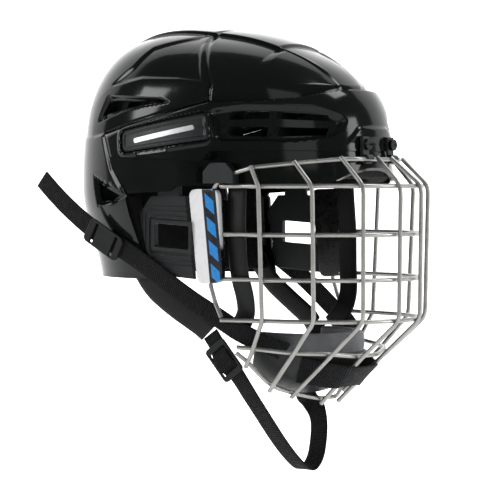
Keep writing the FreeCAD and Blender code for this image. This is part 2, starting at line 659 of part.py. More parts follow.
def main():
    front_shell = make_front_shell()
    save(front_shell, "front_shell")
    save(make_rear_shell(), "rear_shell")
    both_sides(make_adjust_lever(), "adjust_lever")
    make_liners(front_shell)
    both_sides(make_ear_guard(), "ear_guard")
    save(make_ear_screws(), "ear_guard_screws")
    make_fasteners()
    make_cross_wires()
    save(make_rim_wire(), "cage_rim_wire")
    for i in range(len(RIM_CROSS)):
        both_sides(make_vertical_wire(i), "cage_wire_v%d" % (i + 1))
    make_chin_loop()
    both_sides(make_side_plate(), "side_plate")
    both_sides(make_corner_bumper(), "corner_bumper")
    make_chin_cup()
    both_sides(make_cage_strap(), "cage_strap")
    both_sides(make_strap_hook(), "strap_hook")
    save(make_hook_studs(), "hook_studs")
    save(make_chin_loop_strap(), "chin_strap")
    both_sides(make_tab(FRONT_TAB_ROUTE), "front_tab")
    both_sides(make_tab(REAR_TAB_ROUTE), "rear_tab")
    save(make_snaps(FRONT_SNAP_AT), "front_strap_snaps")
    save(make_snaps(REAR_SNAP_AT), "rear_strap_snaps")
    save(make_slider(), "strap_slider")


main()
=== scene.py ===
"""Ice hockey helmet with a wire face cage: the looks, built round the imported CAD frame."""

import json
import math

import bmesh
import bpy
import numpy as np
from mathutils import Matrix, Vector


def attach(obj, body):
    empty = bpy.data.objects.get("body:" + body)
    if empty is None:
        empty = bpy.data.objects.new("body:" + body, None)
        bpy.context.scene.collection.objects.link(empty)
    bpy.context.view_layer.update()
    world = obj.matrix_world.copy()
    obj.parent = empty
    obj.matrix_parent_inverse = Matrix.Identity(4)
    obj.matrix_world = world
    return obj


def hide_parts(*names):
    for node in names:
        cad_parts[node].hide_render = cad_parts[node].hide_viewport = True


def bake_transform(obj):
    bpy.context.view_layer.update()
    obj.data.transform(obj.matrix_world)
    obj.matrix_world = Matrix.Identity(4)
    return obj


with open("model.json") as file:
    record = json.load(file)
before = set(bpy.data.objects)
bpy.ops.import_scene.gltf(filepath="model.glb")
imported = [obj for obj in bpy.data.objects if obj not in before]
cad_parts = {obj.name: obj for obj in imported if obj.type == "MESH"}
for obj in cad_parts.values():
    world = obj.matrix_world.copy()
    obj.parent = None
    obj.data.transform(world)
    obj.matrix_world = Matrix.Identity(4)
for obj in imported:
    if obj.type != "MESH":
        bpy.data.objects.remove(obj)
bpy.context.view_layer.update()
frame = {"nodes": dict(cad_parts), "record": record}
nodes = frame["nodes"]
scene = bpy.context.scene
MM = 0.001
X_AXIS = Vector((1, 0, 0))


def linked(name, data):
    obj = bpy.data.objects.new(name, data)
    scene.collection.objects.link(obj)
    return obj


# ---- camera ----------------------------------------------------------------
camera_data = bpy.data.cameras.new("camera")
camera_data.sensor_width = 36
camera_data.lens = 155.5
camera = linked("camera", camera_data)
camera.location = (-1.411, -1.035, 0)
camera.rotation_euler = Vector((0.809, 0.588, -0.029)).to_track_quat("-Z", "Y").to_euler()
scene.camera = camera


# ---- routes of the webbing, in millimetres -----------------------------------
CHIN_ROUTE = [(-71, -23, -114), (-69.5, -29.4, -124), (-67.5, -38.4, -136), (-64, -45.8, -148),
              (-56, -51, -163), (-45, -56, -180), (-31, -60, -199), (-17, -64, -215),
              (-5, -68, -225), (4, -71, -216), (7, -72, -200), (8, -72, -185),
              (12, -65, -173), (22, -48, -168), (39, -33, -151), (55, -29, -130),
              (68, -29, -113)]
CAGE_STRAP_ROUTE = [(-48, -78, -127), (-62, -70, -121), (-76, -56, -112), (-79.5, -38, -101),
                    (-87.2, -16, -87), (-91.6, 8, -71), (-92.6, 38, -53), (-92.6, 64, -41),
                    (-92.2, 84, -30), (-91.2, 104, -17), (-89.5, 122, -4), (-88.5, 135, 7)]
FRONT_TAB_ROUTE = [(-74.3, -51.5, 10), (-75.5, -52, -10), (-77.5, -53, -36), (-76, -54, -66),
                   (-72, -58, -86), (-67.5, -55, -102), (-67, -44, -113)]
REAR_TAB_ROUTE = [(-80.2, 42, -58), (-80.8, 32, -76), (-79, 8, -93), (-75.6, -10, -104),
                  (-74.4, -18, -109)]


def mirrored(route):
    return [(-x, y, z) for x, y, z in route]


def smooth_line(route):
    """Points of the NURBS spline that has the route's points as its control points."""
    data = bpy.data.curves.new("route", "CURVE")
    data.dimensions = "3D"
    data.resolution_u = 14
    spline = data.splines.new("NURBS")
    spline.points.add(len(route) - 1)
    for point, place in zip(spline.points, route):
        point.co = (*[v * MM for v in place], 1)
    spline.order_u = 3
    spline.use_endpoint_u = True
    obj = linked("route", data)
    bpy.context.view_layer.update()
    mesh = bpy.data.meshes.new_from_object(obj)
    line = [v.co.copy() for v in mesh.vertices]
    bpy.data.objects.remove(obj)
    bpy.data.curves.remove(data)
    bpy.data.meshes.remove(mesh)
    return line


def flat_to_side(tangent):
    return tangent.cross(X_AXIS)


def facing_front(tangent):
    return Vector((0, -1, 0))


def flat_strap(name, line, across_at, width, thick, crown=0.0):
    """Closed ribbon along a line, with rolled edges and UVs in metres along and across it."""
    half, edge = width / 2 * MM, thick / 2 * MM
    profile = []
    for share in (-1, -0.97, -0.88, -0.6, -0.3, 0, 0.3, 0.6, 0.88, 0.97, 1):
        rise = math.sqrt(max(0.0, 1 - abs(share) ** 14))
        profile.append((share * half, edge * (rise + crown * (1 - share * share))))
    loop = profile + [(u, -v) for u, v in reversed(profile[1:-1])]
    mesh = bmesh.new()
    uv = mesh.loops.layers.uv.new("UVMap")
    rings, along, travelled = [], [], 0.0
    for i, point in enumerate(line):
        before, after = line[max(i - 1, 0)], line[min(i + 1, len(line) - 1)]
        tangent = (after - before).normalized()
        side = across_at(tangent).normalized()
        normal = tangent.cross(side).normalized()
        side = normal.cross(tangent).normalized()
        rings.append([mesh.verts.new(point + side * u + normal * v) for u, v in loop])
        travelled += (point - line[i - 1]).length if i else 0.0
        along.append(travelled)
    count = len(loop)
    for i in range(len(rings) - 1):
        for k in range(count):
            n = (k + 1) % count
            face = mesh.faces.new((rings[i][k], rings[i][n], rings[i + 1][n], rings[i + 1][k]))
            for corner, (row, column) in zip(face.loops, ((i, k), (i, n), (i + 1, n), (i + 1, k))):
                corner[uv].uv = (along[row], loop[column][0])
    mesh.faces.new(list(reversed(rings[0])))
    mesh.faces.new(rings[-1])
    bmesh.ops.recalc_face_normals(mesh, faces=mesh.faces)
    data = bpy.data.meshes.new(name)
    mesh.to_mesh(data)
    mesh.free()
    data.shade_smooth()
    return linked(name, data)


def declare_strap(obj, body, node):
    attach(obj, body)
    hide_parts(node)


chin_line = smooth_line(CHIN_ROUTE)
chin_strap = flat_strap("chin_strap_webbing", chin_line, facing_front, 16, 1.6)
declare_strap(chin_strap, "shell", "chin_strap")
cage_straps = []
for side_name, route in (("right", CAGE_STRAP_ROUTE), ("left", mirrored(CAGE_STRAP_ROUTE))):
    line = smooth_line(route)
    strap = flat_strap("cage_strap_webbing_" + side_name, line, flat_to_side, 16, 1.6)
    declare_strap(strap, "cage", "cage_strap_" + side_name)
    cage_straps.append(strap)
tabs = []
for side_name, flip in (("right", 1), ("left", -1)):
    for kind, route in (("front", FRONT_TAB_ROUTE), ("rear", REAR_TAB_ROUTE + [(-72.4, -22, -113.5)])):
        line = smooth_line([(x * flip, y, z) for x, y, z in route])
        tab = flat_strap("%s_tab_moulded_%s" % (kind, side_name), line, flat_to_side, 17, 2.2, 0.25)
        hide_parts("%s_tab_%s" % (kind, side_name))
        if kind == "front":
            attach(tab, "shell")
        else:
            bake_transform(tab)
        tabs.append(tab)


# ---- materials -----------------------------------------------------------------
def srgb(r, g, b):
    def linear(v):
        v /= 255
        return v / 12.92 if v < 0.04045 else ((v + 0.055) / 1.055) ** 2.4
    return (linear(r), linear(g), linear(b), 1)


class Surface:
    """A Principled material whose colour, roughness and relief come from procedural nodes."""

    def __init__(self, name, metallic=0.0, coat=0.0, coat_roughness=0.05, sheen=0.0, specular=0.2):
        self.material = bpy.data.materials.new(name)
        self.material.use_nodes = True
        self.tree = self.material.node_tree
        self.shader = self.tree.nodes["Principled BSDF"]
        self.shader.inputs["Metallic"].default_value = metallic
        self.shader.inputs["Specular IOR Level"].default_value = specular
        self.shader.inputs["Coat Weight"].default_value = coat
        self.shader.inputs["Coat Roughness"].default_value = coat_roughness
        self.shader.inputs["Sheen Weight"].default_value = sheen
        self.place = self.tree.nodes.new("ShaderNodeTexCoord")
        self.relief = None

    def join(self, source, target):
        self.tree.links.new(source, target)

    def mapped(self, scale=(1, 1, 1), turn=(0, 0, 0), uv=False):
        node = self.tree.nodes.new("ShaderNodeMapping")
        node.inputs["Scale"].default_value = scale
        node.inputs["Rotation"].default_value = turn
        self.join(self.place.outputs["UV" if uv else "Object"], node.inputs["Vector"])
        return node.outputs["Vector"]

    def noise(self, scale, detail=3.0, vector=None, roughness=0.5):
        node = self.tree.nodes.new("ShaderNodeTexNoise")
        node.inputs["Scale"].default_value = scale
        node.inputs["Detail"].default_value = detail
        node.inputs["Roughness"].default_value = roughness
        self.join(vector or self.place.outputs["Object"], node.inputs["Vector"])
        return node.outputs["Fac"]

    def cells(self, scale, feature="F1", vector=None):
        node = self.tree.nodes.new("ShaderNodeTexVoronoi")
        node.feature = feature
        node.inputs["Scale"].default_value = scale
        self.join(vector or self.place.outputs["Object"], node.inputs["Vector"])
        return node.outputs["Distance"]

    def wave(self, scale, direction="X", vector=None, distortion=0.0, profile="SIN"):
        node = self.tree.nodes.new("ShaderNodeTexWave")
        node.bands_direction = direction
        node.wave_profile = profile
        node.inputs["Scale"].default_value = scale
        node.inputs["Distortion"].default_value = distortion
        self.join(vector or self.place.outputs["Object"], node.inputs["Vector"])
        return node.outputs["Fac"]

    def maths(self, operation, a, b):
        node = self.tree.nodes.new("ShaderNodeMath")
        node.operation = operation
        for socket, value in zip(node.inputs, (a, b)):
            if isinstance(value, (int, float)):
                socket.default_value = value
            else:
                self.join(value, socket)
        return node.outputs[0]

    def scaled(self, value, low, high, start=0.0, end=1.0):
        node = self.tree.nodes.new("ShaderNodeMapRange")
        node.inputs["From Min"].default_value = start
        node.inputs["From Max"].default_value = end
        node.inputs["To Min"].default_value = low
        node.inputs["To Max"].default_value = high
        self.join(value, node.inputs["Value"])
        return node.outputs[0]

    def mix(self, factor, a, b):
        node = self.tree.nodes.new("ShaderNodeMix")
        node.data_type = "RGBA"
        self.join(factor, node.inputs["Factor"])
        for socket, value in ((node.inputs[6], a), (node.inputs[7], b)):
            if isinstance(value, tuple):
                socket.default_value = value
            else:
                self.join(value, socket)
        return node.outputs[2]

    def colour(self, value):
        self.join(value, self.shader.inputs["Base Color"])

    def roughness(self, value, low, high):
        self.join(self.scaled(value, low, high, 0.3, 0.7), self.shader.inputs["Roughness"])

    def bump(self, height, distance, strength=1.0):
        node = self.tree.nodes.new("ShaderNodeBump")
        node.inputs["Distance"].default_value = distance
        node.inputs["Strength"].default_value = strength
        self.join(height, node.inputs["Height"])
        if self.relief is not None:
            self.join(self.relief, node.inputs["Normal"])
        self.relief = node.outputs["Normal"]
        self.join(self.relief, self.shader.inputs["Normal"])

    def axis(self, name):
        node = self.tree.nodes.new("ShaderNodeSeparateXYZ")
        self.join(self.place.outputs["Object"], node.inputs[0])
        return node.outputs[name]


def gloss_shell():
    s = Surface("shell_black_gloss", specular=0.5)
    s.shader.inputs["IOR"].default_value = 1.27
    s.colour(s.mix(s.noise(14, 4), srgb(9, 12, 11), srgb(17, 21, 19)))
    s.roughness(s.noise(30, 5), 0.09, 0.16)
    s.bump(s.noise(900, 2), 0.00002, 0.35)
    s.bump(s.noise(60, 2), 0.00006, 0.2)
    return s.material


def moulded(name, dark, light, low, high, grain=1400, depth=0.00008, coat=0.0):
    s = Surface(name, coat=coat)
    s.colour(s.mix(s.noise(60, 4), dark, light))
    s.roughness(s.noise(160, 4), low, high)
    s.bump(s.cells(grain), depth, 0.5)
    s.bump(s.noise(220, 3), 0.0001, 0.3)
    return s.material


def satin_steel():
    s = Surface("cage_satin_steel", metallic=0.82, coat=0.15, coat_roughness=0.2)
    s.colour(s.mix(s.noise(90, 5), srgb(126, 126, 123), srgb(164, 163, 160)))
    s.roughness(s.noise(420, 4), 0.26, 0.4)
    s.bump(s.noise(1500, 2), 0.00003, 0.4)
    return s.material


def dark_steel():
    s = Surface("fastener_black_oxide", metallic=0.7)
    s.colour(s.mix(s.noise(300, 4), srgb(10, 10, 11), srgb(30, 30, 31)))
    s.roughness(s.noise(500, 3), 0.25, 0.42)
    s.bump(s.noise(1200, 3), 0.00004, 0.5)
    return s.material


def foam():
    s = Surface("liner_expanded_foam", specular=0.08)
    s.colour(s.mix(s.cells(320), srgb(8, 8, 9), srgb(20, 20, 21)))
    s.roughness(s.noise(200, 3), 0.75, 0.95)
    s.bump(s.cells(320), 0.0006, 0.6)
    s.bump(s.noise(1500, 2), 0.0002, 0.4)
    return s.material


def pad_fabric():
    s = Surface("pad_covered_foam", sheen=0.04, specular=0.1)
    weave = s.maths("ADD", s.wave(420, "Y"), s.wave(420, "Z"))
    s.colour(s.mix(s.noise(500, 3), srgb(10, 10, 11), srgb(28, 28, 30)))
    s.roughness(s.noise(90, 3), 0.7, 0.9)
    s.bump(weave, 0.0003, 0.5)
    s.bump(s.noise(70, 3), 0.0008, 0.3)
    return s.material


def webbing():
    """Woven tape: fine ribs across its length and a chevron in each."""
    s = Surface("strap_woven_webbing", sheen=0.03, specular=0.1)
    ribs = s.wave(170, "X", s.mapped((1, 1, 1), uv=True))
    threads = s.wave(240, "DIAGONAL", s.mapped((1, 1, 1), uv=True), 1.5)
    body = s.maths("ADD", ribs, s.maths("MULTIPLY", threads, 0.6))
    s.colour(s.mix(s.scaled(body, 0, 1, 0, 1.6), srgb(4, 4, 5), srgb(24, 25, 27)))
    s.roughness(s.noise(300, 3), 0.6, 0.85)
    s.bump(body, 0.0005, 0.9)
    s.bump(s.noise(900, 3), 0.0002, 0.4)
    return s.material


def leather():
    s = Surface("cup_grained_leather", specular=0.3)
    grain = s.cells(420, "DISTANCE_TO_EDGE")
    s.colour(s.mix(s.noise(55, 5), srgb(50, 51, 53), srgb(104, 106, 108)))
    s.roughness(s.noise(120, 4), 0.42, 0.62)
    s.bump(s.scaled(grain, 0, 1, 0, 0.25), 0.0003, 0.5)
    s.bump(s.noise(90, 4), 0.0009, 0.25)
    return s.material


def woven_plastic():
    """Ear guard: moulded plastic with a fine diagonal weave pressed into it."""
    s = Surface("ear_guard_weave", specular=0.22)
    turned = s.mapped((1, 1, 1), (math.radians(38), 0, 0))
    weave = s.maths("MULTIPLY", s.wave(300, "Y", turned), s.wave(300, "Z", turned))
    s.colour(s.mix(weave, srgb(9, 11, 12), srgb(40, 43, 45)))
    s.roughness(s.noise(200, 3), 0.3, 0.46)
    s.bump(weave, 0.0003, 0.6)
    return s.material


def two_tone_plate():
    """Jaw plate: light grey behind a dividing line, navy with slanted blue bars in front of it."""
    s = Surface("jaw_plate_two_tone", coat=0.15, coat_roughness=0.06, specular=0.4)
    lean = s.maths("ADD", s.axis("Y"), s.maths("MULTIPLY", s.axis("Z"), -0.11))
    split = s.scaled(lean, 0, 1, -0.0266, -0.0263)
    bars = s.scaled(s.wave(27, "DIAGONAL", s.mapped((0, -1.0, 1.4)), 0.0, "SAW"), 0, 1, 0.4, 0.42)
    inner = s.maths("MULTIPLY", s.scaled(lean, 0, 1, -0.0368, -0.0365),
                    s.scaled(lean, 1, 0, -0.0289, -0.0286))
    rim = s.scaled(lean, 0, 1, -0.0395, -0.0392)
    front = s.mix(s.maths("MULTIPLY", bars, inner), srgb(1, 7, 18), srgb(24, 120, 190))
    front = s.mix(rim, srgb(196, 197, 199), front)
    outer = s.mix(split, front, srgb(214, 214, 216))
    outward = s.scaled(s.maths("ABSOLUTE", s.axis("X"), 0.0), 0, 1, 0.0828, 0.0832)
    s.colour(s.mix(outward, srgb(10, 10, 11), outer))
    s.roughness(s.noise(140, 3), 0.22, 0.34)
    s.bump(s.noise(700, 2), 0.00004, 0.4)
    return s.material


def inlay_metal():
    s = Surface("lever_inlay_silver", metallic=0.6)
    s.colour(s.mix(s.noise(120, 4), srgb(150, 152, 154), srgb(196, 198, 199)))
    s.roughness(s.noise(900, 3), 0.28, 0.4)
    s.bump(s.wave(900, "Z", None, 2.0), 0.00002, 0.3)
    return s.material


MATERIALS = {
    "inlay": inlay_metal(),
    "shell_gloss": gloss_shell(),
    "lever_plastic": moulded("lever_satin_plastic", srgb(20, 21, 22), srgb(36, 38, 39), 0.3, 0.44),
    "foam": foam(),
    "comfort_foam": pad_fabric(),
    "ear_plastic": woven_plastic(),
    "dark_metal": dark_steel(),
    "bumper_plastic": moulded("bumper_satin_plastic", srgb(26, 28, 29), srgb(40, 43, 44), 0.42, 0.56, 900),
    "cage_steel": satin_steel(),
    "plate_plastic": two_tone_plate(),
    "cup_plastic": moulded("cup_satin_plastic", srgb(24, 25, 26), srgb(40, 41, 42), 0.35, 0.5),
    "cup_leather": leather(),
    "webbing": webbing(),
    "tab_rubber": moulded("tab_soft_plastic", srgb(7, 7, 8), srgb(17, 18, 19), 0.35, 0.5),
    "buckle_plastic": moulded("buckle_plastic", srgb(9, 10, 11), srgb(22, 23, 25), 0.34, 0.48),
}


def paint(obj, slot_name):
    obj.data.materials.clear()
    obj.data.materials.append(MATERIALS[slot_name])


for row in frame["record"]["subparts"]:
    paint(nodes[row["node"]], row["material_slot"])
for strap in [chin_strap] + cage_straps:
    paint(strap, "webbing")
for tab in tabs:
    paint(tab, "tab_rubber")


# ---- mesh helpers -----------------------------------------------------------------
def apply_modifiers(obj):
    bpy.context.view_layer.update()
    shape = obj.evaluated_get(bpy.context.evaluated_depsgraph_get())
    data = bpy.data.meshes.new_from_object(shape)
    obj.modifiers.clear()
    old = obj.data
    obj.data = data
    bpy.data.meshes.remove(old)


def welded_copy(node, name):
    mesh = bmesh.new()
    mesh.from_mesh(nodes[node].data)
    bmesh.ops.remove_doubles(mesh, verts=mesh.verts, dist=1e-6)
    data = bpy.data.meshes.new(name)
    mesh.to_mesh(data)
    mesh.free()
    return linked(name, data)


def round_off(obj, voxel, passes, push=0.0):
    """Remesh a solid finely and relax it, so that its edges turn round; push swells it."""
    remesh = obj.modifiers.new("remesh", "REMESH")
    remesh.mode = "VOXEL"
    remesh.voxel_size = voxel * MM
    smooth = obj.modifiers.new("smooth", "SMOOTH")
    smooth.iterations = passes
    if push:
        swell = obj.modifiers.new("swell", "DISPLACE")
        swell.strength = push * MM
        swell.mid_level = 0
    apply_modifiers(obj)
    obj.data.shade_smooth()
    return obj


def softened(node, name, voxel, passes, body, slot_name, push=0.0):
    """Copy of a CAD solid with rounded edges, which stands for the node."""
    obj = round_off(welded_copy(node, name), voxel, passes, push)
    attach(obj, body)
    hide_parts(node)
    paint(obj, slot_name)
    return obj


def both(name):
    return [name + "_right", name + "_left"]


# ---- shells -------------------------------------------------------------------------
HALF_WIDTH, FRONT_LENGTH, REAR_LENGTH, HEIGHT = 99.8, 153.1, 116.4, 128.2
CENTRE_Y, PLAN_POWER, POWER_FRONT, POWER_REAR = 20.0, 2.134, 2.47, 2.69
SEAM = [(-2, 160), (-2, 122), (-14, 104), (-30, 79), (-30, 66), (69, 42), (56, 14), (40, -5)]
BROW_EDGE = [(22, -4), (-2, -3), (-8, 1.2), (-100, 1.2), (-120, 5), (-131, 15), (-160, 15), (-160, 160)]
REAR_HEM = [(38, -22), (30, -55), (25, -72), (160, -72), (160, 160)]
LEDGE = [(-160, 28), (-39, 28), (-32, 21), (50, 24), (90, 25)]
LEVER = [(46, 44), (-33, 58), (-37, 37), (44, 27.5)]
FINGER_NOTCH = [(35, 31), (28, 25), (0, 28), (-10, 35)]
SIDE_RECESS = [(-34, 60), (-60, 63), (-106, 61), (-121, 53), (-121, 38), (-95, 34), (-42, 35)]
SIDE_SLOTS = [[(-49, 51.5), (-78, 52.5), (-78, 58), (-50, 58)],
              [(-83, 52), (-113, 50.5), (-112, 55), (-83, 57.5)],
              [(-50, 39.5), (-78, 38.5), (-78, 46), (-50, 46.5)],
              [(-83, 38.5), (-112, 39.5), (-113, 45), (-83, 46)]]
REAR_RECESS = [(84, 51), (73, 74), (12, 71), (1, 66.5), (48, 60.5)]
REAR_SLOTS = [[(78, 57), (71, 69), (51, 68.3), (55, 61.5)], [(47, 67.5), (13, 68.5), (7, 66.7), (48, 62.5)]]
LOW_RECESS = [(83, 10), (36, -7), (50, -13), (78, -15)]
LOW_SLOTS = [[(78, 4), (50, -6.5), (58, -10.5), (75, -11)]]
REAR_PANEL = [(-4, 118), (8, 125), (41, 113), (51, 97), (72, 82), (68, 79.5), (35, 84.5), (0, 83),
              (-25, 80), (-14, 102)]
BAND_TOP = ([-125, -111, -95, -64, -30, 69, 85], [75, 73.5, 67.5, 65.2, 66, 42, 40])
CREASE = ([-125, -112, -101, -66, -30, -24, 0, 35, 72, 100], [76.5, 78.5, 80, 77, 76.5, 79, 83, 84.5, 79, 64])


def step(value, start, end):
    t = np.clip((value - start) / (end - start), 0, 1)
    return t * t * (3 - 2 * t)


def outline_distance(a, b, corners):
    """Distance to a closed outline in a plane, negative inside."""
    best = np.full(a.shape, 1e9)
    inside = np.zeros(a.shape, bool)
    for (p, q), (r, s) in zip(corners, corners[1:] + corners[:1]):
        da, db = r - p, s - q
        t = np.clip(((a - p) * da + (b - q) * db) / (da * da + db * db), 0, 1)
        best = np.minimum(best, np.hypot(a - p - t * da, b - q - t * db))
        crosses = (q > b) != (s > b)
        with np.errstate(divide="ignore", invalid="ignore"):
            inside ^= crosses & (a < (r - p) * (b - q) / (s - q) + p)
    return np.where(inside, -best, best)


def line_distance(a, b, corners):
    best = np.full(a.shape, 1e9)
    for (p, q), (r, s) in zip(corners, corners[1:]):
        da, db = r - p, s - q
        t = np.clip(((a - p) * da + (b - q) * db) / (da * da + db * db), 0, 1)
        best = np.minimum(best, np.hypot(a - p - t * da, b - q - t * db))
    return best


def rounded(outline, reach):
    """Outline whose corners are rounded off over reach each way."""
    points = []
    last = len(outline) - 1
    for i, corner in enumerate(outline):
        p = np.array(corner, float)
        before = np.array(outline[i - 1], float) - p
        after = np.array(outline[0 if i == last else i + 1], float) - p
        cut = min(reach, 0.45 * np.hypot(*before), 0.45 * np.hypot(*after))
        a, b = p + before / np.hypot(*before) * cut, p + after / np.hypot(*after) * cut
        for t in np.linspace(0, 1, 7):
            points.append(tuple(a * (1 - t) ** 2 + 2 * p * t * (1 - t) + b * t * t))
    return points


def shell_relief(x, y, z):
    """How far the outer face stands out from, or sinks below, the plain dome."""
    wide = np.abs(x)
    band, crease = np.interp(y, *BAND_TOP), np.interp(y, *CREASE)
    above = step(z, band - 1.2, band + 2.6)
    depth = np.interp(y, [-125, -105, -60, -30, 60, 90], [6.0, 5.0, 4.2, 3.8, 3.6, 1.0])
    relief = -depth * above * np.clip((crease - z) / (crease - band), 0, 1)
    proud = np.interp(y, [-125, -105, -60, -20], [5.5, 4.5, 2.0, 0.6])
    relief += proud * (1 - above) * step(z, 30, 72) * (y < 20)
    crown = np.interp(y, [-110, -62, -58, 0, 95], [13, 24, 27, 33, 24])
    drop = np.interp(y, [-104, -64, -58, 60, 100], [1.0, 1.2, 2.8, 2.6, 0.0])
    high = step(z, 70, 88)
    relief -= drop * high * step(wide, crown, crown + 3.5) * (1 - step(wide, crown + 4, crown + 46))
    relief -= 2.2 * high * step(-y, 57, 60) * (1 - step(-y, 62, 100)) * (1 - step(wide, crown - 2, crown + 2))
    relief -= 1.6 * (1 - step(outline_distance(y, z, REAR_PANEL), -4.5, 0)) * (y > -30)
    relief -= 4.2 * (1 - step(outline_distance(y, z, rounded(SIDE_RECESS, 6)), -3.6, 0.2))
    relief -= 3.8 * (1 - step(outline_distance(y, z, rounded(REAR_RECESS, 5)), -2.8, 0.2))
    relief -= 4.0 * (1 - step(outline_distance(y, z, LOW_RECESS), -3.0, 0.2))
    lever = outline_distance(y, z, rounded(LEVER, 5))
    relief += 0.8 * (1 - step(lever, 2.6, 5.6)) * step(lever, 0.6, 1.8)
    relief -= 3.1 * (1 - step(lever, 0.5, 1.1))
    relief -= 1.7 * (1 - step(outline_distance(y, z, FINGER_NOTCH), -3.0, 0.6)) * step(lever, 0.8, 3.0)
    tilt = (45.5 - z) * 1.05 + 19 - wide
    relief += 1.5 * step(tilt, -2.4, 2.4) * step(45.5 - z, -2.0, 2.0) * step(z, 33, 40) * (y < -90)
    relief -= 1.3 * (1 - step(line_distance(y, z, SEAM), 0, 3.6))
    return relief


def dome_points(inset, columns, rows, relief=None):
    angle = (np.arange(columns) + 0.5) * 2 * math.pi / columns
    c, s = np.cos(angle), np.sin(angle)
    power = (POWER_FRONT + POWER_REAR) / 2 + (POWER_REAR - POWER_FRONT) / 2 * s
    length = np.where(s < 0, FRONT_LENGTH, REAR_LENGTH) - inset
    flat = 2 / PLAN_POWER
    across = (HALF_WIDTH - inset) * np.sign(c) * np.abs(c) ** flat
    reach = length * np.sign(s) * np.abs(s) ** flat
    height = HEIGHT - inset
    low = np.linspace(-80, 0, rows // 4, endpoint=False)
    turn = np.linspace(0, math.pi / 2, rows - len(low), endpoint=False)
    grid = np.zeros((rows, columns, 3))
    for i in range(rows):
        if i < len(low):
            t = np.clip(-low[i] / 75, 0, 1)
            share = np.full(columns, 1 - 0.14 * t * t * (3 - 2 * t))
            level = np.full(columns, low[i])
        else:
            t = turn[i - len(low)]
            share = math.cos(t) ** (2 / power)
            level = height * math.sin(t) ** (2 / power)
        grid[i, :, 0] = across * share
        grid[i, :, 1] = CENTRE_Y + reach * share
        grid[i, :, 2] = level * (1 + 0.0005 * reach * share)
    if relief is not None:
        along = np.roll(grid, -1, axis=1) - np.roll(grid, 1, axis=1)
        up = np.gradient(grid, axis=0)
        normal = np.cross(along, up)
        normal /= np.linalg.norm(normal, axis=2, keepdims=True) + 1e-12
        offset = relief(grid[..., 0], grid[..., 1], grid[..., 2])
        grid += normal * offset[..., None]
    return grid, np.array([0, CENTRE_Y, height])


def cheek_points(inset, columns, rows):
    """The lower band tucks in at the cheeks, where the cage passes it."""
    angle = (np.arange(columns) + 0.5) * 2 * math.pi / columns
    c, s = np.cos(angle), np.sin(angle)
    flat = 2 / PLAN_POWER
    deep = inset + 1.5
    grid = np.zeros((rows, columns, 3))
    for i, level in enumerate(np.linspace(-14, 42, rows)):
        if level <= 0:
            t = -level / 75
            share = np.full(columns, 1 - 0.14 * t * t * (3 - 2 * t))
        else:
            power = (POWER_FRONT + POWER_REAR) / 2 + (POWER_REAR - POWER_FRONT) / 2 * s
            share = (1 - (level / (HEIGHT - deep)) ** power) ** (1 / power)
        x = (HALF_WIDTH - deep) * share * np.sign(c) * np.abs(c) ** flat
        reach = (np.where(s < 0, FRONT_LENGTH, REAR_LENGTH) - deep) * share * np.sign(s) * np.abs(s) ** flat
        y = CENTRE_Y + reach
        limit = 79.3 - inset + step(y, -27, -10) * (HALF_WIDTH - 3 - 79.3)
        wide = -1.2 * np.log(np.exp(-np.abs(x) / 1.2) + np.exp(-limit / 1.2))
        grid[i, :, 0] = np.sign(x) * np.maximum(wide, 0)
        grid[i, :, 1] = y
        grid[i, :, 2] = level * (1 + 0.0005 * reach)
    return grid


def solid_from_rings(name, grid, top=None):
    """Closed mesh over stacked rings, with a flat floor and a flat or pointed top."""
    rows, columns, _ = grid.shape
    points = [grid.reshape(-1, 3), grid[0].mean(0)[None]]
    points.append(grid[-1].mean(0)[None] if top is None else top[None])
    points = np.concatenate(points) * MM
    index = np.arange(rows * columns).reshape(rows, columns)
    after = np.roll(index, -1, axis=1)
    quads = np.stack([index[:-1], after[:-1], after[1:], index[1:]], -1).reshape(-1, 4)
    floor, peak = rows * columns, rows * columns + 1
    faces = quads.tolist()
    faces += [(floor, int(b), int(a)) for a, b in zip(index[0], after[0])]
    faces += [(peak, int(a), int(b)) for a, b in zip(index[-1], after[-1])]
    data = bpy.data.meshes.new(name)
    data.from_pydata(points.tolist(), [], faces)
    data.update()
    return linked(name, data)


def prism(outline, low=-140.0, high=140.0):
    """Closed prism along X of a (y, z) outline."""
    mesh = bmesh.new()
    ends = [[mesh.verts.new((x * MM, y * MM, z * MM)) for y, z in outline] for x in (low, high)]
    mesh.faces.new(ends[0])
    mesh.faces.new(list(reversed(ends[1])))
    for i in range(len(outline)):
        k = (i + 1) % len(outline)
        mesh.faces.new((ends[0][k], ends[0][i], ends[1][i], ends[1][k]))
    bmesh.ops.recalc_face_normals(mesh, faces=mesh.faces)
    bmesh.ops.triangulate(mesh, faces=mesh.faces)
    data = bpy.data.meshes.new("prism")
    mesh.to_mesh(data)
    mesh.free()
    return linked("prism", data)


def combine(obj, operation, other, keep=False):
    modifier = obj.modifiers.new("cut", "BOOLEAN")
    modifier.operation = operation
    modifier.solver = "MANIFOLD"
    modifier.object = other
    apply_modifiers(obj)
    if not keep:
        bpy.data.objects.remove(other)
    return obj


def duplicate(obj):
    return linked(obj.name + "_copy", obj.data.copy())


def inner_relief(x, y, z):
    return np.minimum(shell_relief(x, y, z), 0)


def lever_relief(x, y, z):
    """A raised border round a sunk field, sloping down again at the outer rim."""
    edge = outline_distance(y, z, rounded(LEVER, 5))
    field = 1 - step(edge, -3.6, -2.4)
    return -0.9 * field - 0.9 * step(edge, -1.1, -0.1)


COLUMNS, ROWS = ((900, 300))
outer = solid_from_rings("outer", *dome_points(0, COLUMNS, ROWS, shell_relief))
under = solid_from_rings("under", *dome_points(2.5, COLUMNS, ROWS, inner_relief))
cheek_under = solid_from_rings("cheek_under", cheek_points(2.5, 400, 20))

